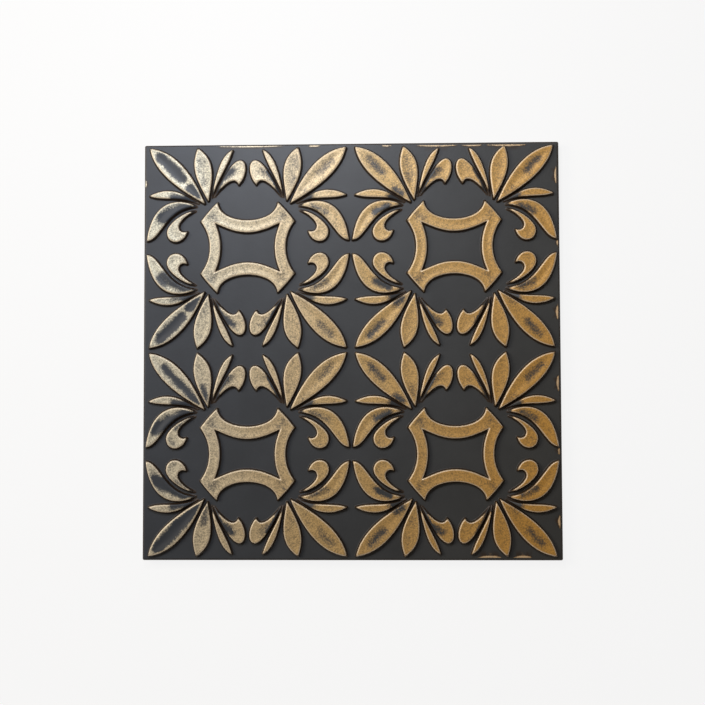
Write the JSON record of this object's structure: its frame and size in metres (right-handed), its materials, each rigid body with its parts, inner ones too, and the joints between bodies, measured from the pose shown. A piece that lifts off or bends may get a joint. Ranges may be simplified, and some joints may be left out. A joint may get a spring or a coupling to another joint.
{
  "type": "decorative foam panel",
  "caption": "Square moulded foam wall or ceiling panel with a raised leaf ornament round curved frames, flat on its back for gluing.",
  "frame": {"origin": "centre of the flat back face", "axes": "+Z out of the decorated face, +X and +Y along the panel's sides, with +Y up the ornament as it is shown"},
  "size_m": [0.5, 0.5, 0.02],
  "materials": {
    "painted_foam": "moulded polystyrene foam painted charcoal, with gold brushed over the raised leaves"
  },
  "bodies": {
    "root": {"foam_panel": "painted_foam"}
  },
  "joints": []
}
